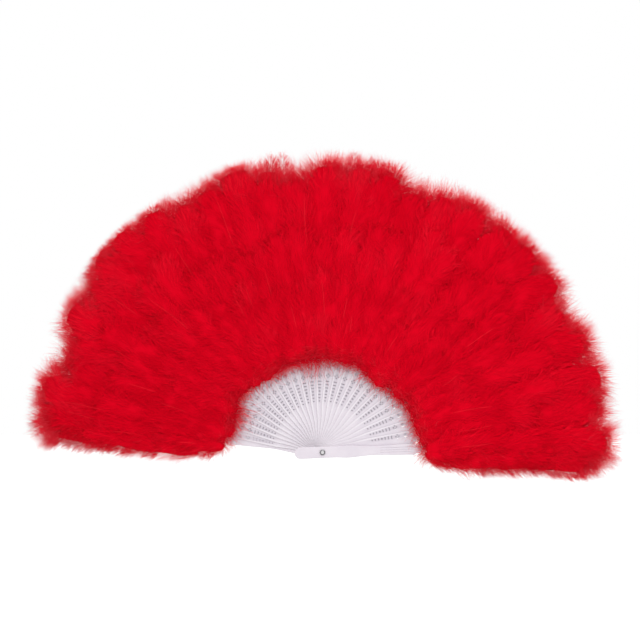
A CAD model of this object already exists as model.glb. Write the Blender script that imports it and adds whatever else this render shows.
# %% [markdown]
# Feather fan
#
# An open folding fan: twenty-six thin pierced plastic sticks and two thick guards turn on one
# rivet, and each of the twenty-eight leaves carries a tuft of dyed marabou down. The frame
# brings the leaves and the rivet at their real size, with one plain solid for each tuft. This
# script gives the plastic and the steel their finish, and grows the plumes that take the
# place of the plain tufts. Lengths are in metres, X is right, Z is up and Y is away from
# the viewer.

# %% Load the frame
import math
from collections import namedtuple

import bpy
import numpy as np
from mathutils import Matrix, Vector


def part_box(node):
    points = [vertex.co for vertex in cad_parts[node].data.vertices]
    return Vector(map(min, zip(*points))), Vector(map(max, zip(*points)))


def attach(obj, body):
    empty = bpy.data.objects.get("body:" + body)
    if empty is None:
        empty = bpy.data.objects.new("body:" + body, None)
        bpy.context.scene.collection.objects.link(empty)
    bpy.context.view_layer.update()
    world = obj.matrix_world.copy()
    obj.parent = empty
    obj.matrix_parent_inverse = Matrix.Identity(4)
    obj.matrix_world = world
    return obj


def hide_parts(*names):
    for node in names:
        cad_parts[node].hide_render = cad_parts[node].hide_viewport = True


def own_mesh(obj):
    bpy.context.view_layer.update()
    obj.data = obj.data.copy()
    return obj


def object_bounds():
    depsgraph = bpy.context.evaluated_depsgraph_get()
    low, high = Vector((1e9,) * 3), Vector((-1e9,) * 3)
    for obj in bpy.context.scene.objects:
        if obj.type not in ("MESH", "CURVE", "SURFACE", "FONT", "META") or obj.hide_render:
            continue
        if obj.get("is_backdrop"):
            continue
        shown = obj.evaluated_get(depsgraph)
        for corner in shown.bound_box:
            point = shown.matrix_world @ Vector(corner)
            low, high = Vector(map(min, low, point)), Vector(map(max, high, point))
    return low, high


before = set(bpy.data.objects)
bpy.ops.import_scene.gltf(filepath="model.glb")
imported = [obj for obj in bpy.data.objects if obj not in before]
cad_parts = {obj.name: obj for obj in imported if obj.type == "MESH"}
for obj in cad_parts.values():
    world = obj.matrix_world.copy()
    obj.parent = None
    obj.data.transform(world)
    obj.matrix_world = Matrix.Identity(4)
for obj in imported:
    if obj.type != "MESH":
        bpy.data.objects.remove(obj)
cad_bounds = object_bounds()
MM = 0.001
bpy.ops.object.select_all(action="DESELECT")
print("frame loaded, box", [round(x, 4) for corner in cad_bounds for x in corner])

# %% [markdown]
# Leaves
#
# A leaf is a stick or a guard with its tuft. Each is worked on in its own axes: along it from
# the rivet, across it towards the back guard, and out towards the viewer. The angles could
# be typed in, but the frame has them already: the point of a leaf that lies farthest from the
# rivet's axis is the tip of its rib. The reach of its plumes is read from its plain tuft.

# %% Names of the leaves
INNER_STICKS = 26
LEAVES = ["front_guard"]
LEAVES += [f"stick_{number:02d}" for number in range(1, INNER_STICKS + 1)]
LEAVES += ["back_guard"]
print(len(LEAVES), "leaves, from", LEAVES[0], "to", LEAVES[-1])


# %% Points of a node
def node_points(name):
    """The points of a node of the frame, a row for each."""
    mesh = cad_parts[name].data
    points = np.empty(3 * len(mesh.vertices), np.float32)
    mesh.vertices.foreach_get("co", points)
    return points.reshape(-1, 3).astype(float)


def farthest_from_rivet(name):
    """Angle and distance of the point of a node that lies farthest from the rivet's axis."""
    points = node_points(name)
    distance = np.hypot(points[:, 0], points[:, 2])
    far = points[distance.argmax()]
    return math.atan2(far[2], far[0]), distance.max()


print("ribs end", round(farthest_from_rivet(LEAVES[0])[1] / MM, 1), "mm from the rivet")


# %% Direction and reach of each leaf
class Leaf:
    """Place of one leaf and of its tuft."""

    def __init__(self, name):
        self.name = name
        self.tuft = "plumes_" + name
        self.angle = farthest_from_rivet(name)[0]
        self.reach = farthest_from_rivet(self.tuft)[1]
        low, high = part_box(name)
        self.level = (low.y + high.y) / 2
        self.half_thickness = (high.y - low.y) / 2

    def axes(self):
        """Rows are the along, across and out directions in the frame."""
        along = (math.cos(self.angle), 0.0, math.sin(self.angle))
        across = (-math.sin(self.angle), 0.0, math.cos(self.angle))
        return np.array([along, across, (0.0, -1.0, 0.0)])

    def turn(self, directions):
        """Turns directions in the leaf's own axes into directions in the frame."""
        return directions @ self.axes()

    def place(self, points):
        """Turns points in the leaf's own axes into points in the frame."""
        return self.turn(points) + np.array([0.0, self.level, 0.0])


leaves = [Leaf(name) for name in LEAVES]
print(len(leaves), "leaves from", round(math.degrees(leaves[0].angle), 1), "to",
      round(math.degrees(leaves[-1].angle), 1), "degrees")

# %% [markdown]
# Camera
#
# The fan is seen square from the front. A short lens close by would spread the plumes that
# stand nearest to it, so a long lens is used from far off. The camera could be set by eye.
# Here its place follows from where the rivet lies in the picture and from the picture's
# scale, so the render can be laid over the picture.

# %% Camera
PICTURE_SIDE = 640
RIVET_PIXEL = (322.5, 452.5)
PICTURE_SCALE = 0.862 * MM
CAMERA_DISTANCE = 1.9
SENSOR = 36.0

picture_width = PICTURE_SIDE * PICTURE_SCALE
view_x = (PICTURE_SIDE / 2 - RIVET_PIXEL[0]) * PICTURE_SCALE
view_z = (RIVET_PIXEL[1] - PICTURE_SIDE / 2) * PICTURE_SCALE
bpy.ops.object.camera_add(
    location=(view_x, -CAMERA_DISTANCE, view_z), rotation=(math.pi / 2, 0, 0))
camera = bpy.context.object
camera.name = "camera"
camera.data.sensor_width = SENSOR
camera.data.lens = SENSOR * CAMERA_DISTANCE / picture_width
bpy.context.scene.camera = camera
print("camera lens", round(camera.data.lens, 1), "mm")

# %% [markdown]
# Light and background
#
# The fan is lit evenly on white, almost without shadows. A ring of lamps could do this, but a
# white world lights it from all round with one value, and one large soft lamp above the
# camera models the form. The world is a trace brighter than white for the fan. Where the
# camera sees it, straight, mirrored or through something, it is plain white. Nodes are added
# and joined many times below, for the world and for every finish, so a small bench does it.


# %% A bench for nodes
class Bench:
    """The nodes of a world, a material or a group, with short ways to add and join them."""

    def __init__(self, tree):
        self.tree = tree

    def dress(self, node, fed):
        """Feeds a node's inputs, by name or number, with values or other nodes' outputs."""
        for name, value in fed.items():
            if isinstance(value, (int, float, tuple)):
                node.inputs[name].default_value = value
            else:
                self.tree.links.new(value, node.inputs[name])
        return node

    def add(self, kind, fed=None):
        """A new node with its inputs fed."""
        return self.dress(self.tree.nodes.new("ShaderNode" + kind), fed or {})

    def number(self, operation, *values):
        """The result of a maths node."""
        node = self.add("Math")
        node.operation = operation
        return self.dress(node, dict(enumerate(values))).outputs[0]


world = bpy.data.worlds.new("studio")
world.use_nodes = True
world_bench = Bench(world.node_tree)
print("bench ready for", world.name)

# %% World
WORLD_STRENGTH = 1.02
SEEN_STRENGTH = 1.0
WHITE = (1.0, 1.0, 1.0, 1.0)

scene = bpy.context.scene
scene.view_settings.view_transform = "Standard"
scene.world = world
rays = world_bench.add("LightPath").outputs
seen = world_bench.number("MAXIMUM", rays["Is Camera Ray"], rays["Is Glossy Ray"])
seen = world_bench.number("MAXIMUM", seen, rays["Is Transmission Ray"])
strength = world_bench.add("Mix")
strength.data_type = "FLOAT"
world_bench.dress(strength, {"Factor": seen, "A": WORLD_STRENGTH, "B": SEEN_STRENGTH})
world_bench.dress(world.node_tree.nodes["Background"], {
    "Color": WHITE, "Strength": strength.outputs["Result"]})
print("world", WORLD_STRENGTH, "on the fan and", SEEN_STRENGTH, "where it is seen")

# %% Lamp
LAMP_SIDE = 1.4
LAMP_WATTS = 15.5
LAMP_PLACE = (0.3, -1.4, 1.7)
LAMP_AIM = (0.0, 0.0, 0.1)

bpy.ops.object.light_add(type="AREA", location=LAMP_PLACE)
lamp = bpy.context.object
lamp.name = "soft_lamp"
lamp.data.energy = LAMP_WATTS
lamp.data.size = LAMP_SIDE
aim = np.array(LAMP_AIM) - np.array(LAMP_PLACE)
lamp.rotation_euler = (
    math.atan2(math.hypot(aim[0], aim[1]), -aim[2]), 0.0, math.atan2(-aim[0], aim[1]))
print("lamp of", LAMP_WATTS, "W,", round(float(np.linalg.norm(aim)), 2), "m from the fan")

# %% Floor
FLOOR_SIDE = 12.0
FLOOR_LEVEL = -0.30

bpy.ops.mesh.primitive_plane_add(size=FLOOR_SIDE, location=(0, 0, FLOOR_LEVEL))
floor = bpy.context.object
floor.name = "floor"
floor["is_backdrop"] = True
print("floor at", FLOOR_LEVEL)

# %% [markdown]
# White floor
#
# The floor is white card under the fan. Card alone comes out grey beside a white world, so to
# the camera most of it glows, and what is left is darkened where the fan's soft shadow falls.
# To the fan it is plain card.

# %% Floor finish
FLOOR_WHITE = (0.8, 0.8, 0.8, 1.0)
FLOOR_GLOW = 1.25
FLOOR_GLOW_SHARE = 0.75


def new_material(name):
    """A material with a bare Principled shader. Returns it, its bench and the shader."""
    material = bpy.data.materials.new(name)
    material.use_nodes = True
    tree = material.node_tree
    return material, Bench(tree), tree.nodes["Principled BSDF"]


def floor_material():
    material, bench, shader = new_material("floor_white")
    bench.dress(shader, {
        "Base Color": FLOOR_WHITE, "Roughness": 1.0, "Specular IOR Level": 0.0})
    glow = bench.add("Emission", {"Strength": FLOOR_GLOW})
    to_camera = bench.add("LightPath").outputs["Is Camera Ray"]
    share = bench.number("MULTIPLY", to_camera, FLOOR_GLOW_SHARE)
    mix = bench.add("MixShader", {
        "Fac": share, 1: shader.outputs["BSDF"], 2: glow.outputs["Emission"]})
    output = bench.tree.nodes["Material Output"]
    bench.dress(output, {"Surface": mix.outputs["Shader"]})
    return material


floor.data.materials.append(floor_material())
print("floor finish", floor.data.materials[0].name)

# %% [markdown]
# Marabou red
#
# Marabou is soft down, dyed here a deep saturated red. Light passes from barb to barb, so the
# colour stays clear even in the gaps. To follow that light through the down would take many
# bounces, so the colours carry it: the darkest is still a clear red, and a faint sheen gives
# the bloom. Each barb has its own place on a colour strip, where the first coordinate picks
# its tone and the second runs from its root to its tip. So one finish serves every barb.

# %% Down finish
CORE_RED = (0.65, 0.0011, 0.012, 1.0)
DOWN_DARK = (0.75, 0.0007, 0.012, 1.0)
DOWN_RED = (0.85, 0.0012, 0.015, 1.0)
DOWN_LIGHT = (0.92, 0.005, 0.022, 1.0)
DOWN_PINK = (1.0, 0.035, 0.060, 1.0)
SHAFT_PALE = (0.90, 0.021, 0.034, 1.0)
TONE_STOPS = [(0.0, CORE_RED), (0.05, CORE_RED), (0.07, DOWN_DARK), (0.50, DOWN_RED),
              (0.72, DOWN_LIGHT), (0.86, DOWN_PINK), (0.92, DOWN_PINK), (0.95, SHAFT_PALE)]
CORE_TONE, DARKEST_BARB, PALEST_BARB, SHAFT_TONE = 0.01, 0.10, 0.90, 0.99
DOWN_ROUGHNESS = 0.9
SHEEN_RED = (1.0, 0.05, 0.08, 1.0)
SHEEN_AMOUNT, SHEEN_SPREAD = 0.25, 0.5


def map_place(bench, map_name):
    """Where a point lies on one of the piece's own maps."""
    node = bench.add("UVMap")
    node.uv_map = map_name
    return node.outputs["UV"]


def split(bench, vector):
    """The X, Y and Z of a vector."""
    return bench.add("SeparateXYZ", {0: vector}).outputs


def down_material():
    material, bench, shader = new_material("marabou_red")
    strip = split(bench, map_place(bench, "barb_strip"))
    tone = bench.add("ValToRGB", {"Fac": strip["X"]})
    ramp = tone.color_ramp.elements
    ramp.remove(ramp[1])
    ramp[0].color = TONE_STOPS[0][1]
    for position, colour in TONE_STOPS[1:]:
        ramp.new(position).color = colour
    bench.dress(shader, {
        "Base Color": tone.outputs["Color"], "Roughness": DOWN_ROUGHNESS,
        "Specular IOR Level": 0.0, "Sheen Weight": SHEEN_AMOUNT,
        "Sheen Roughness": SHEEN_SPREAD, "Sheen Tint": SHEEN_RED})
    return material


marabou_red = down_material()
print("down finish", marabou_red.name, "with", len(TONE_STOPS), "stops")

# %% [markdown]
# Plumes
#
# A marabou plume is a thin shaft with hundreds of long soft barbs, so fine that together they
# read as a puff with a bloom of fur. Particle hair would need its own render settings, and
# the operators for solids can't draw a hair, so both are worked out as arrays of points: a
# lens-shaped core gives each plume its body, and barbs leave it along the way that the down
# is combed, sideways from the shaft and curling to the tip.

# %% Places on the colour strip
TONES = 32
COLUMN_EDGE, COLUMN_WIDTH = 0.1, 0.8


def strip_places(tone, across, along):
    """Places on the colour strip: a column for each tone, the root at 0 and the tip at 1."""
    column = np.floor(np.asarray(tone) * TONES)[:, None]
    places = (column + COLUMN_EDGE + COLUMN_WIDTH * across) / TONES
    return np.stack(np.broadcast_arrays(places, along), axis=-1).reshape(-1, 2)


def barb_tone(tone, palest=PALEST_BARB):
    """Keeps tones inside the columns of the barbs."""
    return np.clip(tone, DARKEST_BARB, palest)


print("colour strip of", TONES, "columns")


# %% Tubes
def unit(vectors):
    """Directions of length one."""
    return vectors / np.maximum(np.linalg.norm(vectors, axis=-1, keepdims=True), 1e-12)


def tube_triangles(sides, first_ring, last_ring, root, tip):
    """Triangles of a tube of rings that a point closes at each end, from its points' numbers."""
    triangles = []
    for turn in range(sides):
        beside = (turn + 1) % sides
        triangles.append((root, first_ring + beside, first_ring + turn))
        triangles.append((tip, last_ring + turn, last_ring + beside))
        for near in range(first_ring, last_ring, sides):
            far = near + sides
            triangles.append((near + turn, near + beside, far + beside))
            triangles.append((near + turn, far + beside, far + turn))
    return np.array(triangles)


print("a tube of two rings of three has", len(tube_triangles(3, 1, 4, 0, 7)), "triangles")

# %% [markdown]
# Barbs
#
# Real barbs are far finer than a picture can show, so each barb here stands for several. It
# is a closed flat sliver with three sides, because a ribbon would vanish edge on. In the down
# it is shaded along the way that the down faces, and where it stands free by its own form.

# %% A set of barbs
BARB_SIDES = 3
BARB_FLATNESS = 0.3
BARB_RADIUS = 0.14 * MM
FAN_AXIS = np.array([0.0, 1.0, 0.0])


def barb_mesh(lines, radius, tone, facing=None):
    """Closed pointed barbs along lines (barb, point, 3), shaded along their facing if given.
    Returns points, triangles, strip places and normals."""
    count, steps = lines.shape[:2]
    rings = steps - 2
    tangent = unit(lines[:, 2:] - lines[:, :-2])
    side = unit(np.cross(tangent, FAN_AXIS))
    other = BARB_FLATNESS * np.cross(tangent, side)
    turns = np.arange(BARB_SIDES) * 2 * np.pi / BARB_SIDES
    ring = (np.cos(turns)[:, None] * side[:, :, None]
            + np.sin(turns)[:, None] * other[:, :, None])
    body = lines[:, 1:-1, None] + ring * radius
    points = np.concatenate([lines[:, :1], body.reshape(count, -1, 3), lines[:, -1:]], axis=1)
    end = 1 + rings * BARB_SIDES
    triangles = tube_triangles(BARB_SIDES, 1, end - BARB_SIDES, 0, end)
    offsets = (np.arange(count) * points.shape[1])[:, None, None]
    faces = (triangles[None] + offsets).reshape(-1, 3)
    heights = np.repeat(np.arange(1, rings + 1) / (rings + 1), BARB_SIDES)
    along = np.concatenate([[0.0], heights, [1.0]])
    across = np.concatenate([[0.5], np.tile(np.arange(BARB_SIDES) / BARB_SIDES, rings), [0.5]])
    normals = np.zeros((count, 3)) if facing is None else facing
    normals = np.repeat(normals, points.shape[1], axis=0)
    return points.reshape(-1, 3), faces, strip_places(tone, across, along), normals


print("a barb has", BARB_SIDES, "sides")

# %% [markdown]
# Puff
#
# The down of a plume stands off its shaft as a puff: flat like a lens, blunt at the root,
# round at the tip and lumpy. A squashed ball would be alike in every plume, so the puff is a
# formula, of its fullness along the shaft and two sets of lumps, and each plume draws its own
# sway, swirl, tone and lumps. Everything else starts from a point of this surface.

# %% The puff of a plume
ROOT_ROUNDING = 14 * MM
LUMP_HEIGHT, LUMP_PACE = 0.10, 8
RIPPLE_HEIGHT, RIPPLE_PACE = 0.06, 19
SWAY, SWIRL = 0.03, 0.25
PLUME_TONES = (0.30, 0.60)


class Plume:
    """A plume in its leaf's axes: where its shaft runs, and how the down puffs up about it."""

    def __init__(self, random, facing, root, heading, length, half_width, half_depth,
                 tip_paler=0.0):
        self.facing, self.root, self.length, self.tip_paler = facing, root, length, tip_paler
        self.half_width, self.half_depth = half_width, half_depth
        self.forward = np.array([math.cos(heading), math.sin(heading), 0.0])
        self.across = np.array([-math.sin(heading), math.cos(heading), 0.0])
        self.out = np.array([0.0, 0.0, 1.0])
        self.sway = random.normal(0, SWAY) * length
        self.waves = random.uniform(0, 2 * np.pi, 6)
        self.swirl = random.normal(0, SWIRL)
        self.tone = random.uniform(*PLUME_TONES)
        self.free_side = 0

    def shaft(self, share):
        """Point at a share of the way from the root to the tip."""
        share = np.asarray(share)[..., None]
        return self.root + self.forward * self.length * share + self.across * self.sway * share**2

    def way(self, opening, side=1):
        """Directions that open by an angle from the shaft, to one side or the other."""
        ahead, aside = np.cos(opening)[:, None], np.sin(opening)[:, None]
        return ahead * self.forward + side * aside * self.across

    def fullness(self, share):
        """Size of the puff along the shaft, blunt at the root and round at the tip."""
        rise = np.clip(1 - share * self.length / ROOT_ROUNDING, 0, 1)
        fall = np.clip(1 - (1 - share) * self.length / self.half_width, 0, 1)
        return np.sqrt((1 - rise**2) * (1 - fall**2))

    def surface(self, share, turn, size=1.0):
        """Point and outward direction on the puff; turn 0 is across, a quarter turn is out."""
        lumps = (1 + LUMP_HEIGHT * np.sin(LUMP_PACE * share + self.waves[0] + 2 * np.cos(turn))
                 + RIPPLE_HEIGHT * np.sin(
                     RIPPLE_PACE * share + self.waves[1] + 3 * np.sin(turn)))
        full = self.fullness(share) * lumps * size
        wide, deep = self.half_width * full, self.half_depth * full
        sideways, outwards = np.cos(turn)[..., None], np.sin(turn)[..., None]
        point = (self.shaft(share) + wide[..., None] * sideways * self.across
                 + deep[..., None] * outwards * self.out)
        normal = unit(self.half_depth * sideways * self.across
                      + self.half_width * outwards * self.out)
        return point, normal


sample_plume = Plume(np.random.default_rng(0), 1, np.zeros(3), 0.0, 80 * MM, 18 * MM, 4 * MM)
print("a puff is", round(float(sample_plume.fullness(0.5)), 2), "full at its middle")

# %% The core of a plume
PUFF_ROWS = 10
PUFF_SIDES = 12
CORE_SIZE = 0.86
CORE_FROM, CORE_TO, CORE_TIP = 0.03, 0.97, 0.99


def plume_core(plume):
    """The closed mesh inside the puff, which keeps it from being seen through."""
    share = np.linspace(CORE_FROM, CORE_TO, PUFF_ROWS)
    turns = np.arange(PUFF_SIDES) * 2 * np.pi / PUFF_SIDES
    grid_share, grid_turn = np.meshgrid(share, turns, indexing="ij")
    points, normals = plume.surface(grid_share, grid_turn, CORE_SIZE)
    points = np.concatenate([points.reshape(-1, 3), plume.shaft([0.0, CORE_TIP])])
    normals = np.concatenate([normals.reshape(-1, 3), [-plume.forward, plume.forward]])
    last_ring, root, tip = (PUFF_ROWS - 1) * PUFF_SIDES, len(points) - 2, len(points) - 1
    triangles = tube_triangles(PUFF_SIDES, 0, last_ring, root, tip)
    along = np.append(np.repeat(share, PUFF_SIDES), [0.0, 1.0])
    across = np.append(np.tile(np.arange(PUFF_SIDES) / PUFF_SIDES, PUFF_ROWS), [0.5, 0.5])
    return points, triangles, strip_places([CORE_TONE], across, along), normals


print("a core has", len(plume_core(sample_plume)[1]), "triangles")

# %% [markdown]
# Locks
#
# The barbs of down cling together in small locks, combed from the shaft to the sides. Barbs
# set one by one at random would read as felt. So each lock first gets its place, way, length
# and tone, and then its barbs stray from it a little. Where the down ends in the air they
# stray more, and no longer shade as one surface.

# %% The locks of a plume
LOCK_SIZE = 6
LOCKS_ROUND = 0.85
COMB = 0.95
SWING, SWING_PACE = 0.30, 7
CURL, CURL_PACE = 0.22, 19
LOCK_STRAY = 0.12
LOCK_LIFT, LIFT_VARY = 0.12, 0.05
BARB_LENGTH = 13 * MM
LENGTH_VARY = 0.22
TIP_FROM, TIP_RUN, TIP_SHORTER = 0.85, 0.15, 0.6
BLOTCH, BLOTCH_PACE, TONE_VARY = 0.10, 11, 0.05
PALER_FROM = 0.6
LOCK_BEND = 0.22


def lock_values(plume, random, locks, first_share):
    """Place along and round the puff, opening, lift, length, tone and bend of each lock, for
    every one of its barbs. The locks lie on the side that faces away from the leaf's rib."""
    share = random.uniform(first_share, 1.0, locks)
    turn = plume.facing * np.pi / 2 + random.normal(0, LOCKS_ROUND, locks).clip(-2.0, 2.0)
    opening = COMB * np.cos(turn) * plume.fullness(share) + plume.swirl
    opening += SWING * np.sin(SWING_PACE * share + plume.waves[2] + 2 * np.cos(turn))
    opening += CURL * np.sin(CURL_PACE * share + plume.waves[3] - 4 * np.cos(turn))
    opening += random.normal(0, LOCK_STRAY, locks)
    lift = LOCK_LIFT + random.normal(0, LIFT_VARY, locks)
    size = BARB_LENGTH * (1 + random.normal(0, LENGTH_VARY, locks)).clip(0.5, 1.6)
    size *= 1 - TIP_SHORTER * ((share - TIP_FROM) / TIP_RUN).clip(0, 1)
    blotch = BLOTCH * np.sin(BLOTCH_PACE * share + plume.waves[4])
    tone = plume.tone + blotch + random.normal(0, TONE_VARY, locks)
    tone += plume.tip_paler * (share - PALER_FROM)
    bend = random.normal(0, LOCK_BEND, (locks, 3))
    values = (share, turn, opening, lift, size, tone, bend)
    return [np.repeat(each, LOCK_SIZE, axis=0) for each in values]


print("a lock has", LOCK_SIZE, "barbs")

# %% The barbs of the locks
LOCK_SPREAD = 0.9 * MM
BARB_SINK = 0.6 * MM
EDGE_DEPTH, EDGE_LOOSE = 9 * MM, 3.0
HEM_SHORTER = 0.75
LOCK_PALEST = 0.72
PULL_FORWARD, PULL_DOWN = 0.30, 0.30


def two_steps(start, first, second, length):
    """Lines that run half their length in one direction and half in another."""
    step = length[:, None] / 2
    middle = start + first * step
    return np.stack([start, middle, middle + second * step], axis=1)


def plume_locks(plume, random, locks, first_share):
    """Lines, tones and facings of the barbs of a plume's locks."""
    share, turn, opening, lift, size, tone, bend = lock_values(plume, random, locks, first_share)
    count = locks * LOCK_SIZE
    spread = random.normal(0, LOCK_SPREAD, (2, count))
    share = (share + spread[0] / plume.length).clip(0.01, 0.995)
    turn = turn + spread[1] / plume.half_width
    start, normal = plume.surface(share, turn)
    hemmed = plume.free_side * np.cos(turn) > 0.2
    within = (share * plume.length < plume.length - EDGE_DEPTH) & ~hemmed
    within &= plume.facing * normal[:, 2] > 0.5
    loose = np.where(within, 1.0, EDGE_LOOSE)
    opening = opening + loose * random.normal(0, 0.06, count)
    lift = lift + loose * random.normal(0, 0.04, count)
    first = unit(plume.way(opening) + lift[:, None] * normal)
    second = unit(first + PULL_FORWARD * plume.forward + bend - PULL_DOWN * normal)
    length = size * np.where(hemmed, HEM_SHORTER, 1.0) * random.uniform(0.7, 1.15, count)
    lines = two_steps(start - normal * BARB_SINK, first, second, length)
    tone = barb_tone(tone + random.normal(0, 0.03, count), LOCK_PALEST)
    return lines, tone, normal * within[:, None]


print("barbs start", round(BARB_SINK / MM, 1), "mm inside the puff")

# %% [markdown]
# Shafts, fringe, hem and vanes
#
# A few shafts show as pale lines on the down. Round the tip of the outermost plumes, and
# along the free side of the guards' plumes, single barbs stand out as a paler bloom, which
# makes the edge of the fan soft. Four thin vanes rise past the rim. Locks alone would end in
# a hard edge there, so each of these gets barbs of its own.

# %% The bare shaft
SHAFT_POINTS = 6
SHAFT_STARTS, SHAFT_RUNS, SHAFT_END = (0.35, 0.55), (0.25, 0.5), 0.93
SHAFT_LEAN, SHAFT_CURVE = 0.2, 1.2
SHAFT_SIZE = 1.25
SHAFT_RADIUS = 0.15 * MM


def bare_shaft(plume, random):
    """The bare shaft, where it shows on the outer face of the puff."""
    first = random.uniform(*SHAFT_STARTS)
    last = min(first + random.uniform(*SHAFT_RUNS), SHAFT_END)
    share = np.linspace(first, last, SHAFT_POINTS)
    lean, curve = random.normal(0, SHAFT_LEAN), random.normal(0, SHAFT_CURVE)
    turn = plume.facing * (np.pi / 2 + lean + curve * (share - first) ** 2)
    point, normal = plume.surface(share, turn, SHAFT_SIZE)
    return point[None], [SHAFT_TONE], normal[:1]


print("shafts end at most", SHAFT_END, "of the way to the tip")

# %% The fringe round the tip
FRINGE_LENGTH, FRINGE_SHARES = 21 * MM, (0.25, 1.2)
FRINGE_RADIUS = 0.09 * MM
FRINGE_TURN, FRINGE_WAVE = 0.85, 0.25
RIM_PALER = 0.50
EDGE_BEND = 0.22
EDGE_TONE_VARY = 0.10


def curled(plume, random, first, pull, bend):
    """Directions of the outer half of barbs: drawn to the tip, and each its own way."""
    return unit(first + pull * plume.forward + random.normal(0, bend, first.shape))


def tip_fringe(plume, random, count):
    """Fine barb ends that stand out all round the tip."""
    around = random.uniform(-1.5, 1.5, count)
    depth = (plume.half_depth * (0.2 * plume.facing + random.normal(0, 0.2, count)))[:, None]
    centre = plume.shaft(1 - plume.half_width / plume.length)
    inwards = random.uniform(0.3, 0.95, count)[:, None]
    start = centre + plume.way(around) * plume.half_width * inwards + depth * plume.out
    turned = FRINGE_TURN * around + plume.swirl
    turned = turned + FRINGE_WAVE * np.sin(5 * around + plume.waves[5])
    turned += random.normal(0, 0.14, count)
    first = unit(plume.way(turned) + random.normal(0, 0.08, count)[:, None] * plume.out)
    second = curled(plume, random, first, 0.2, EDGE_BEND)
    lines = two_steps(start, first, second, FRINGE_LENGTH * random.uniform(*FRINGE_SHARES, count))
    tone = plume.tone + RIM_PALER + random.normal(0, EDGE_TONE_VARY, count)
    return lines, barb_tone(tone)


print("the rim is paler by", RIM_PALER, "of the colour strip")

# %% The hem on a free side
HEM_LENGTH, HEM_SHARES = 19 * MM, (0.10, 1.0)
HEM_OPENING, HEM_WAVE, HEM_STRAY = 0.70, 0.10, 0.20
HEM_PALER = 0.35


def side_hem(plume, random, count, side):
    """Fine barb ends that stand out along one side of the puff, 1 or -1 across."""
    share = random.uniform(0.0, 0.9, count)
    turn = (1 - side) * np.pi / 2 + random.normal(0, 0.5, count)
    start = plume.surface(share, turn, random.uniform(0.65, 0.95, count))[0]
    wave = HEM_WAVE * np.sin(17 * share + plume.waves[5])
    opening = HEM_OPENING + wave + random.normal(0, HEM_STRAY, count)
    first = unit(plume.way(opening, side) + random.normal(0, 0.15, count)[:, None] * plume.out)
    second = curled(plume, random, first, 0.25, EDGE_BEND)
    lines = two_steps(start, first, second, HEM_LENGTH * random.uniform(*HEM_SHARES, count))
    tone = plume.tone + HEM_PALER + random.normal(0, EDGE_TONE_VARY, count)
    return lines, barb_tone(tone)


print("the hem is paler by", HEM_PALER, "of the colour strip")

# %% A thin vane
VANE_LENGTH, VANE_SHARES = 18 * MM, (0.8, 1.1)
VANE_RADIUS = 0.09 * MM
VANE_ALONG = 0.2
VANE_OPENING, VANE_SPREAD, VANE_STRAY = 0.45, 0.4, 0.09
VANE_TONE, VANE_TONE_VARY = 0.8, 0.06


def thin_vane(plume, random, count):
    """The thin vane about the end of the shaft, with barbs standing off to both sides."""
    left = random.uniform(0.0, 1.0, count) ** 0.6
    start = plume.shaft(1 - VANE_ALONG * left) + random.normal(0, 0.5 * MM, (count, 3))
    side = random.choice([-1, 1], count)
    opening = side * (VANE_OPENING + VANE_SPREAD * left + random.normal(0, VANE_STRAY, count))
    first = plume.way(opening)
    second = curled(plume, random, first, 0.3, 0.12)
    length = VANE_LENGTH * (0.2 + 0.8 * left) * random.uniform(*VANE_SHARES, count)
    tone = VANE_TONE + random.normal(0, VANE_TONE_VARY, count)
    return two_steps(start, first, second, length), barb_tone(tone)


print("a vane takes the last", VANE_ALONG, "of its shaft")

# %% [markdown]
# Tiers of plumes
#
# Every rib carries plumes on both faces, in tiers that cover one another as tiles do. The
# longest stand out past the rim, and shorter ones cover their quills farther in. Plumes set
# at random would show no such layers, so three tiers are placed from the rim inwards. The
# two guards have no neighbour on their outer side, so a second, narrower set is shifted
# there, with a hem. Neither the rim nor the inner edge is a true circle, so some leaves reach
# a little farther or less far.

# %% The tiers
# Where the root lies from the rivet, where the tip stops short of the tuft's reach and how
# much that varies, half width, half depth, how far out the shaft lies, how much paler it gets
# to the tip, where the barbs begin as a share of the length, locks, barbs of the fringe
Tier = namedtuple("Tier", "root short_by vary half_width half_depth out tip_paler barbs_from "
                          "locks fringe")
TIERS = [
    Tier(135 * MM, 0.5 * MM, 2 * MM, 18 * MM, 4.5 * MM, 1.5 * MM, 0.7, 0.38, 270, 740),
    Tier(100 * MM, 46 * MM, 10 * MM, 14 * MM, 4.5 * MM, 3.5 * MM, 0.2, 0.30, 200, 0),
    Tier(80 * MM, 92 * MM, 10 * MM, 11 * MM, 4.0 * MM, 4.5 * MM, 0.0, 0.0, 190, 0),
]
ROOT_VARY, SIDE_VARY, HEADING_VARY = 2 * MM, 1 * MM, 0.015

# A set of plumes: the side that is free, the heading, the shift to the side of each tier, the
# share of the width and how much shorter the plumes are
PlumeSet = namedtuple("PlumeSet", "side heading shifts width shorter")
FIRST_SET = PlumeSet(0, 0.0, (0.0, 0.0, 0.0), 1.0, 0.0)
DOUBLED = {
    "front_guard": PlumeSet(-1, -0.018, (-7 * MM, -8.5 * MM, -5 * MM), 0.70, 14 * MM),
    "back_guard": PlumeSet(1, -0.045, (10.5 * MM, 12 * MM, 7 * MM), 0.70, 8 * MM),
}
HEM_BARBS = 420
HEM_CALM = 0.4
print(len(TIERS), "tiers, doubled on", " and ".join(DOUBLED))

# %% The inner edge and the rim
# How much farther out the down begins on some leaves
INNER_EDGE = {
    "front_guard": 8 * MM, "stick_01": 5 * MM, "stick_02": 3 * MM, "stick_03": 3 * MM,
    "stick_04": 3 * MM, "stick_07": -3 * MM, "stick_08": -3 * MM, "stick_20": 3 * MM,
    "stick_21": 5 * MM, "stick_22": 6 * MM, "stick_23": 6 * MM, "stick_24": 4 * MM,
    "back_guard": 6 * MM,
}

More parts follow.
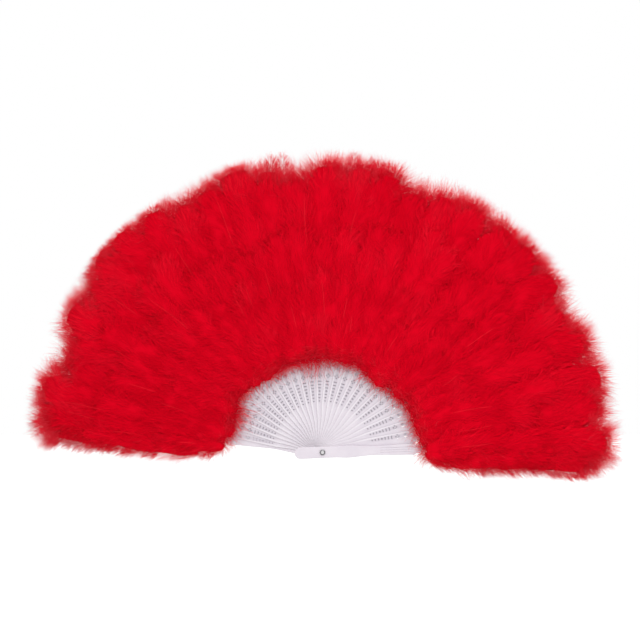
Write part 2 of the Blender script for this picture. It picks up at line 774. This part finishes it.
# How much farther or less far the rim reaches on some leaves
RIM_CHANGE = {
    "front_guard": 1 * MM, "stick_01": 3 * MM, "stick_03": 2 * MM, "stick_04": -3 * MM,
    "stick_05": -1 * MM, "stick_07": 3 * MM, "stick_09": -3 * MM, "stick_10": -5 * MM,
    "stick_12": -2 * MM, "stick_14": -6 * MM, "stick_15": -2 * MM, "stick_16": 2 * MM,
    "stick_17": -3 * MM, "stick_18": -3 * MM, "stick_20": 3 * MM, "stick_21": 4 * MM,
    "stick_23": 3 * MM, "stick_24": -4 * MM, "stick_25": -2 * MM, "stick_26": 4 * MM,
    "back_guard": 3 * MM,
}
print("inner edge moved on", len(INNER_EDGE), "leaves and rim on", len(RIM_CHANGE))


# %% The plumes of a leaf
def plumes_of(leaf, random):
    """The plumes on both faces of a leaf, each with its tier."""
    doubled = DOUBLED.get(leaf.name)
    for plume_set in [FIRST_SET, doubled] if doubled else [FIRST_SET]:
        for facing in (1, -1):
            for shift, tier in zip(plume_set.shifts, TIERS):
                start = tier.root + INNER_EDGE.get(leaf.name, 0.0) + random.normal(0, ROOT_VARY)
                reach = leaf.reach + RIM_CHANGE.get(leaf.name, 0.0)
                tip = reach - tier.short_by - plume_set.shorter + random.normal(0, tier.vary)
                root = np.array([start, shift + random.normal(0, SIDE_VARY),
                                 facing * (leaf.half_thickness + tier.out)])
                heading = plume_set.heading + random.normal(0, HEADING_VARY)
                plume = Plume(random, facing, root, heading, tip - start,
                              plume_set.width * tier.half_width, tier.half_depth, tier.tip_paler)
                if doubled:
                    plume.swirl *= HEM_CALM
                    plume.free_side = doubled.side
                yield plume, tier


for leaf in (leaves[0], leaves[1]):
    print(leaf.name, "has", sum(1 for _ in plumes_of(leaf, np.random.default_rng(0))), "plumes")

# %% Thin vanes past the rim
# The leaf, the heading, how far the shaft reaches from the rivet
THIN_VANES = [
    ("stick_12", 0.038, 263 * MM),
    ("stick_12", -0.090, 258 * MM),
    ("stick_15", -0.145, 264 * MM),
    ("stick_15", -0.060, 264 * MM),
]
VANE_BARBS = 240


def vanes_of(leaf, random):
    """The thin vanes that stand out past the rim on a leaf."""
    outer = TIERS[0]
    for name, heading, reach in THIN_VANES:
        if name == leaf.name:
            root = np.array([outer.root, 0.0, 0.0])
            plume = Plume(random, 1, root, heading, reach - outer.root, outer.half_width,
                          outer.half_depth)
            plume.sway = 0.0
            yield thin_vane(plume, random, VANE_BARBS)


print(len(THIN_VANES), "thin vanes on", len({name for name, *_ in THIN_VANES}), "leaves")

# %% [markdown]
# Collar
#
# Where the down begins, short wisps curl inwards over the pierced plastic and to both sides.
# The innermost plumes end there in a row of blunt roots, which would show as scallops, so a
# collar of single barbs is strewn over them: many short ones, some longer, and on two leaves
# a stray lock that dips further towards the rivet.

# %% The collar of a leaf
# Wisps, their length, and between which angles from the leaf they set off
COLLAR_KINDS = [(460, 12 * MM, 0.9, 2.6), (70, 17 * MM, 1.7, 3.0)]
STRAY_WISPS, STRAY_LEAST, STRAY_MOST = 80, 2.6, 3.1
STRAY_LEAVES = {"stick_14": 26 * MM, "stick_24": 27 * MM}
COLLAR_START = (80 * MM, 95 * MM)
COLLAR_SIDE = 7 * MM
COLLAR_OUT = (3 * MM, 8 * MM)
COLLAR_SHARES = (0.6, 1.3)
COLLAR_RADIUS = 0.11 * MM
COLLAR_LIFT, COLLAR_BEND = 0.10, 0.35
COLLAR_TONE, COLLAR_TONE_VARY = 0.6, 0.18


def collar(leaf, random, facing):
    """Wisps about the inner edge, combed inwards and to both sides."""
    lines, tones = [], []
    kinds = list(COLLAR_KINDS)
    if facing > 0 and leaf.name in STRAY_LEAVES:
        kinds.append((STRAY_WISPS, STRAY_LEAVES[leaf.name], STRAY_LEAST, STRAY_MOST))
    for count, length, least, most in kinds:
        start = np.stack([random.uniform(*COLLAR_START, count),
                          random.normal(0, COLLAR_SIDE / 2, count),
                          facing * random.uniform(*COLLAR_OUT, count)], axis=1)
        start[:, 0] += INNER_EDGE.get(leaf.name, 0.0)
        turned = random.uniform(least, most, count) * random.choice([-1, 1], count)
        points = [start]
        step = (length * random.uniform(*COLLAR_SHARES, count))[:, None] / 2
        for _ in range(2):
            lift = random.normal(0, COLLAR_LIFT, count)
            way = np.stack([np.cos(turned), np.sin(turned), lift], axis=1)
            points.append(points[-1] + unit(way) * step)
            turned = turned + random.normal(0, COLLAR_BEND, count)
        lines.append(np.stack(points, axis=1))
        tones.append(random.normal(COLLAR_TONE, COLLAR_TONE_VARY, count))
    return np.concatenate(lines), barb_tone(np.concatenate(tones))


print("collar of", len(collar(leaves[0], np.random.default_rng(0), 1)[0]), "wisps on each face")

# %% [markdown]
# From plumes to one mesh
#
# Each tuft becomes a single mesh, because its ten thousand barbs and more as pieces of their
# own would be far too many to move and to export. A few barbs would end past the rim or
# reach over the neighbours. Cut off, they would all end on one line, so they are shortened
# instead, each to its own step inside the limit.

# %% Limits
LONGEST, WIDEST = 265 * MM, 36 * MM
LIMIT_STEP, LIMIT_STEPS = 0.6 * MM, 11
SHORTEST_SHARE = 0.05


def within_limits(lines):
    """Shortens the barbs that would end too far from the rivet or from the middle line."""
    start = lines[:, :1]
    short = LIMIT_STEP * (np.arange(len(lines)) % LIMIT_STEPS)
    from_rivet = [np.hypot(lines[:, end, 0], lines[:, end, 1]) for end in (0, -1)]
    from_middle = [np.abs(lines[:, end, 1]) for end in (0, -1)]
    share = np.ones(len(lines))
    for limit, (near, far) in ((LONGEST, from_rivet), (WIDEST, from_middle)):
        left = (limit - short - near) / np.maximum(far - near, 1e-9)
        share = np.where(far > limit - short, np.minimum(share, left), share)
    return start + (lines - start) * share.clip(SHORTEST_SHARE, 1.0)[:, None, None]


def strands(leaf, radius, lines, tone, facing=None):
    """Barbs of one radius in the leaf's axes, as a part in the frame."""
    facing = None if facing is None else leaf.turn(facing)
    return barb_mesh(leaf.place(within_limits(lines)), radius, tone, facing)


print("barbs end within", round(LONGEST / MM), "mm of the rivet")


# %% One mesh
def build_mesh(name, parts, material):
    """One mesh object from (points, triangles, strip places, normals) parts."""
    points = np.concatenate([part[0] for part in parts])
    offsets = np.cumsum([0] + [len(part[0]) for part in parts[:-1]])
    faces = np.concatenate([part[1] + offset for part, offset in zip(parts, offsets)])
    places = np.concatenate([part[2] for part in parts])
    normals = np.concatenate([part[3] for part in parts])
    mesh = bpy.data.meshes.new(name)
    mesh.vertices.add(len(points))
    mesh.vertices.foreach_set("co", points.astype(np.float32).ravel())
    mesh.loops.add(faces.size)
    mesh.loops.foreach_set("vertex_index", faces.astype(np.int32).ravel())
    mesh.polygons.add(len(faces))
    mesh.polygons.foreach_set("loop_start", np.arange(0, faces.size, 3, dtype=np.int32))
    for map_name in ("barb_strip", "OFBake"):
        layer = mesh.uv_layers.new(name=map_name)
        layer.data.foreach_set("uv", places[faces.ravel()].astype(np.float32).ravel())
    mesh.polygons.foreach_set("use_smooth", np.abs(normals[faces[:, 1]]).sum(axis=1) > 0)
    mesh.update()
    mesh.validate()
    mesh.normals_split_custom_set_from_vertices(normals.astype(np.float32))
    mesh.materials.append(material)
    made = bpy.data.objects.new(name, mesh)
    bpy.context.scene.collection.objects.link(made)
    return made


print("meshes carry the finish", marabou_red.name)

# %% [markdown]
# Growing the tufts
#
# Each leaf grows its plumes from a random series of its own, so that the fan is the same
# every time, and a change to one leaf leaves the others alone. The down rides on its leaf and
# stands in for the plain tuft. A closing fan presses its down flat between the leaves. Cloth
# or hair could be simulated for this. A plain flattening towards the leaf is simpler and
# follows the joint, but closed, the down of some leaves passes through that of others.

# %% All parts of a tuft
SHAFTS_SHOWN = 0.22


def tuft_parts(leaf, random):
    """The parts of a leaf's tuft: its plumes, then its thin vanes and its collar."""
    parts = []
    for plume, tier in plumes_of(leaf, random):
        points, faces, places, normals = plume_core(plume)
        parts.append((leaf.place(points), faces, places, leaf.turn(normals)))
        locks = plume_locks(plume, random, tier.locks, tier.barbs_from)
        parts.append(strands(leaf, BARB_RADIUS, *locks))
        if tier.fringe:
            parts.append(strands(leaf, FRINGE_RADIUS, *tip_fringe(plume, random, tier.fringe)))
        if plume.free_side:
            hem = side_hem(plume, random, HEM_BARBS, plume.free_side)
            parts.append(strands(leaf, FRINGE_RADIUS, *hem))
        if random.random() < SHAFTS_SHOWN:
            parts.append(strands(leaf, SHAFT_RADIUS, *bare_shaft(plume, random)))
    for vane in vanes_of(leaf, random):
        parts.append(strands(leaf, VANE_RADIUS, *vane))
    for facing in (1, -1):
        parts.append(strands(leaf, COLLAR_RADIUS, *collar(leaf, random, facing)))
    return parts


print("one plume in", round(1 / SHAFTS_SHOWN, 1), "shows its shaft")

# %% The tufts
FIRST_SERIES = 100

total_faces = 0
for number, leaf in enumerate(leaves):
    random = np.random.default_rng(FIRST_SERIES + number)
    down = build_mesh("down_" + leaf.name, tuft_parts(leaf, random), marabou_red)
    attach(down, leaf.name)
    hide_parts(leaf.tuft)
    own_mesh(down)
    total_faces += len(down.data.polygons)
print("tufts made, triangles in all", total_faces)

# %% [markdown]
# White plastic
#
# The sticks and guards are moulded in a cool ivory white. The melt runs from the rivet end
# to the tip, which leaves faint streaks along the leaf, a little ripple and a soft gloss that
# changes from place to place. One pattern for the whole fan would run the streaks across
# some leaves, so each leaf gets a map of its own, in metres from the rivet and from the
# middle line.


# %% Places along and across each leaf
def note_leaf_places(leaf):
    """Gives a leaf the map on which its streaks run."""
    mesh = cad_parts[leaf.name].data
    points = node_points(leaf.name) - np.array([0.0, leaf.level, 0.0])
    places = (points @ leaf.axes().T)[:, :2]
    corners = np.empty(len(mesh.loops), np.int32)
    mesh.loops.foreach_get("vertex_index", corners)
    layer = mesh.uv_layers.new(name="leaf_place")
    layer.data.foreach_set("uv", places[corners].astype(np.float32).ravel())


for leaf in leaves:
    note_leaf_places(leaf)
print("places noted on", len(leaves), "leaves")

# %% [markdown]
# What the plastics share
#
# All three plastics show the same marks of moulding, and two show the marks of a pierced
# blade. Copied nodes would drift apart when one copy is changed, so each effect is a group,
# built once: moulding gives streaks, a cloudy tint and a fine grain, and blade_wear says where
# handling has dulled the plastic about the piercings and where the edge shows as a pale rim.


# %% Patterns for the finishes
def ranged(bench, value, low, high, to_low=0.0, to_high=1.0):
    """A smooth step of a value from one range to another."""
    node = bench.add("MapRange")
    node.interpolation_type = "SMOOTHSTEP"
    fed = {"Value": value, "From Min": low, "From Max": high, "To Min": to_low,
           "To Max": to_high}
    return bench.dress(node, fed).outputs["Result"]


def noise(bench, place, scale, detail):
    """Cloudy values from 0 to 1, in so many clouds to the metre."""
    node = bench.add("TexNoise", {"Vector": place, "Scale": scale, "Detail": detail})
    return node.outputs["Fac"]


def mixed(bench, share, first, second):
    """A colour between two, each a colour or the output of a node."""
    node = bench.add("Mix")
    node.data_type = "RGBA"
    return bench.dress(node, {"Factor": share, 6: first, 7: second}).outputs[2]


def bump(bench, height, strength, distance):
    """The normal of a surface with a height on it."""
    node = bench.add("Bump", {"Height": height, "Strength": strength, "Distance": distance})
    return node.outputs["Normal"]


def new_group(name, given, result):
    """A node group with named sockets. Returns its bench, what it is given and its end."""
    group = bpy.data.node_groups.new(name, "ShaderNodeTree")
    for way, sockets in (("INPUT", given), ("OUTPUT", result)):
        for socket, kind in sockets.items():
            group.interface.new_socket(socket, in_out=way, socket_type="NodeSocket" + kind)
    first, last = group.nodes.new("NodeGroupInput"), group.nodes.new("NodeGroupOutput")
    return Bench(group), first.outputs, last


print("patterns ready")

# %% The marks of moulding
STREAKS = (55.0, 1400.0, 1.0)
CLOUD_SCALE, CLOUD_RANGE = 60.0, (0.35, 0.68)
GRAIN_SCALE, GRAIN_HEIGHT = 2600.0, 0.3
STREAK_RANGE, GLOSS_RANGE = (0.25, 0.75), (0.34, 0.46)


def moulding_group():
    """Flow streaks, cloudy tint and fine grain of moulded plastic."""
    bench, given, result = new_group(
        "moulding", {"Place": "Vector", "Spot": "Vector", "Pale": "Color", "Cool": "Color"},
        {"Tint": "Color", "Gloss": "Float", "Grain": "Float", "Height": "Float"})
    stretched = bench.add("Mapping", {"Vector": given["Place"], "Scale": STREAKS})
    streaks = noise(bench, stretched.outputs["Vector"], 1.0, 3.0)
    clouds = ranged(bench, noise(bench, given["Spot"], CLOUD_SCALE, 3.0), *CLOUD_RANGE)
    grain = noise(bench, given["Spot"], GRAIN_SCALE, 2.0)
    rough = bench.number("MULTIPLY", grain, GRAIN_HEIGHT)
    bench.dress(result, {
        "Tint": mixed(bench, clouds, given["Pale"], given["Cool"]),
        "Gloss": ranged(bench, streaks, *STREAK_RANGE, *GLOSS_RANGE),
        "Grain": grain, "Height": bench.number("ADD", streaks, rough)})
    return bench.tree


moulding = moulding_group()
print("node group", moulding.name, "made")

# %% The marks on a pierced blade
PIERCED_FROM, PIERCED_TO, PIERCED_ACROSS, PIERCED_HALF = 0.036, 0.078, 0.0033, 0.0015
WEAR_IN, WEAR_OUT = 0.012, 0.004
GRAIN_RANGE, PATCH_RANGE = (0.2, 0.7), (0.45, 1.0)
WAIST_AT, WAIST_HALF, FLARE, RIM_WIDTH = 0.026, 0.0043, 0.0396, 0.0009


def blade_group():
    """Masks on a pierced blade: dulled about the piercings, pale on the rim over the next."""
    bench, given, result = new_group(
        "blade_wear", {"Place": "Vector", "Grain": "Float"}, {"Worn": "Float", "Rim": "Float"})
    place = split(bench, given["Place"])
    begun = ranged(bench, place["X"], PIERCED_FROM, PIERCED_FROM + WEAR_IN)
    ended = ranged(bench, place["X"], PIERCED_TO, PIERCED_TO + WEAR_OUT, 1.0, 0.0)
    aside = bench.number("ABSOLUTE", bench.number("SUBTRACT", place["Y"], PIERCED_ACROSS))
    near = ranged(bench, aside, PIERCED_HALF * 0.5, PIERCED_HALF * 1.5, 1.0, 0.0)
    zone = bench.number("MULTIPLY", bench.number("MULTIPLY", begun, ended), near)
    patchy = ranged(bench, given["Grain"], *GRAIN_RANGE, *PATCH_RANGE)
    past_waist = bench.number("SUBTRACT", place["X"], WAIST_AT)
    flared = bench.number("MAXIMUM", past_waist, 0.0)
    half = bench.number("MULTIPLY_ADD", flared, FLARE, WAIST_HALF)
    inside = bench.number("SUBTRACT", half, place["Y"])
    bench.dress(result, {
        "Worn": bench.number("MULTIPLY", zone, patchy),
        "Rim": ranged(bench, inside, RIM_WIDTH * 0.3, RIM_WIDTH, 1.0, 0.0)})
    return bench.tree


blade_wear = blade_group()
print("node group", blade_wear.name, "made")

# %% [markdown]
# Three plastics
#
# The guards are thick and plain, and take the moulding alone. The sticks add the wear of a
# pierced blade. Through the piercings of a stick the one behind it shows, in shade. A weaker
# world would deepen that shade, but would darken the whole fan. So the strip of a stick's
# front face that the stick in front covers is tinted darker, with a little beside it. The
# first stick lies behind the front guard and not behind a stick, so it goes without.

# %% The covered strip
COVERED_EDGE, COVERED_SLOPE, COVERED_BLEND = 0.0029, -0.0704, 0.0008
BESIDE_WIDTH, BESIDE_SHARE = 0.0020, 0.20
FACING_FRONT, FACING_ASIDE = -0.9, -0.5


def covered_zone(bench, place, normal):
    """Share of shaded plastic on the strip of the front face that the next stick covers."""
    front = ranged(bench, split(bench, normal)["Y"], FACING_FRONT, FACING_ASIDE, 1.0, 0.0)
    spot = split(bench, place)
    edge = bench.number("MULTIPLY_ADD", spot["X"], COVERED_SLOPE, COVERED_EDGE)
    past = bench.number("SUBTRACT", spot["Y"], edge)
    hidden = ranged(bench, past, -COVERED_BLEND, 0.0, 1.0, 0.0)
    beside = ranged(bench, past, 0.0, BESIDE_WIDTH, BESIDE_SHARE, 0.0)
    return bench.number("MULTIPLY", front, bench.number("MAXIMUM", hidden, beside))


print("shade runs on", round(BESIDE_WIDTH / MM, 1), "mm beside the covered strip")

# %% The plastics
PLASTIC_PALE = (0.725, 0.67, 0.725, 1.0)
PLASTIC_COOL = (0.685, 0.63, 0.69, 1.0)
PLASTIC_DULL = (0.60, 0.55, 0.61, 1.0)
PLASTIC_SHADE = (0.52, 0.48, 0.53, 1.0)
PLASTIC_RIM = (0.765, 0.72, 0.765, 1.0)
PLASTIC_SPECULAR = 0.35
WORN_ROUGHER = 0.2
MOULD_STRENGTH, MOULD_DEPTH = 0.35, 0.00008


def place_group(bench, group, fed):
    """Puts a node group in a material with its inputs fed, and returns its outputs."""
    node = bench.add("Group")
    node.node_tree = group
    return bench.dress(node, fed).outputs


def plastic_material(name, pierced, covered):
    """Moulded plastic, with the wear of a pierced blade and the covered strip where asked."""
    material, bench, shader = new_material(name)
    place = map_place(bench, "leaf_place")
    spot = bench.add("TexCoord").outputs
    moulded = place_group(bench, moulding, {
        "Place": place, "Spot": spot["Object"], "Pale": PLASTIC_PALE, "Cool": PLASTIC_COOL})
    tint, gloss = moulded["Tint"], moulded["Gloss"]
    if pierced:
        blade = place_group(bench, blade_wear, {"Place": place, "Grain": moulded["Grain"]})
        tint = mixed(bench, blade["Worn"], tint, PLASTIC_DULL)
        gloss = bench.number("MULTIPLY_ADD", blade["Worn"], WORN_ROUGHER, gloss)
        tint = mixed(bench, blade["Rim"], tint, PLASTIC_RIM)
    if covered:
        shaded = covered_zone(bench, place, spot["Normal"])
        tint = mixed(bench, shaded, tint, PLASTIC_SHADE)
    bench.dress(shader, {
        "Base Color": tint, "Roughness": gloss, "Specular IOR Level": PLASTIC_SPECULAR,
        "Normal": bump(bench, moulded["Height"], MOULD_STRENGTH, MOULD_DEPTH)})
    return material


stick_plastic = plastic_material("stick_plastic", True, True)
first_stick_plastic = plastic_material("first_stick_plastic", True, False)
guard_plastic = plastic_material("guard_plastic", False, False)
print("plastics made:", stick_plastic.name, first_stick_plastic.name, guard_plastic.name)


# %% Plastic on the leaves
def finish_node(name, material):
    """Gives a node of the frame its finish."""
    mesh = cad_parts[name].data
    mesh.materials.clear()
    mesh.materials.append(material)


finishes = {"front_guard": guard_plastic, "stick_01": first_stick_plastic,
            "back_guard": guard_plastic}
for leaf in leaves:
    finish_node(leaf.name, finishes.get(leaf.name, stick_plastic))
print("plastic finish on", len(leaves), "leaves")

# %% [markdown]
# Rivet steel
#
# The rivet's head is a small dull ring with a pale flat in the middle, where it rubs in the
# hand. Fine turning marks run round its axis. Two solids could be coloured apart, but the
# head is one piece, so the distance from the axis picks the colour and draws the marks. The
# washer takes the same steel.

# %% Steel finish
STEEL_PALE = (0.72, 0.71, 0.72, 1.0)
STEEL_DARK = (0.16, 0.155, 0.165, 1.0)
PALE_RADIUS = 0.0012
TURNING_MARKS = 2600.0
MARK_STRENGTH, MARK_DEPTH = 0.25, 0.00003
STAIN_SCALE, STAIN_RANGE = 900.0, (0.3, 0.7)
STAIN_DARKNESS, STAIN_ROUGHNESS = (0.8, 1.0), (0.32, 0.5)


def steel_material():
    material, bench, shader = new_material("rivet_steel")
    spot = bench.add("TexCoord").outputs["Object"]
    parts = split(bench, spot)
    level = bench.add("CombineXYZ", {"X": parts["X"], "Z": parts["Z"]})
    length = bench.add("VectorMath")
    length.operation = "LENGTH"
    radius = bench.dress(length, {0: level.outputs["Vector"]}).outputs["Value"]
    turned = bench.number("MULTIPLY", radius, 2 * math.pi * TURNING_MARKS)
    marks = bench.number("SINE", turned)
    stains = noise(bench, spot, STAIN_SCALE, 3.0)
    rim = ranged(bench, radius, PALE_RADIUS, PALE_RADIUS * 1.25)
    stained = ranged(bench, stains, *STAIN_RANGE, *STAIN_DARKNESS)
    dark = bench.number("MULTIPLY", rim, stained)
    bench.dress(shader, {
        "Base Color": mixed(bench, dark, STEEL_PALE, STEEL_DARK), "Metallic": 1.0,
        "Roughness": ranged(bench, stains, *STAIN_RANGE, *STAIN_ROUGHNESS),
        "Normal": bump(bench, marks, MARK_STRENGTH, MARK_DEPTH)})
    return material


steel = steel_material()
for name in ("rivet", "rivet_washer"):
    finish_node(name, steel)
print("steel finish on the rivet and its washer")

# %% [markdown]
# Finish
#
# The box of the plain model and the box of the dressed one are written side by side.

boxes = {"cad": cad_bounds, "visual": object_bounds()}
{name: [list(corner) for corner in box] for name, box in boxes.items()}
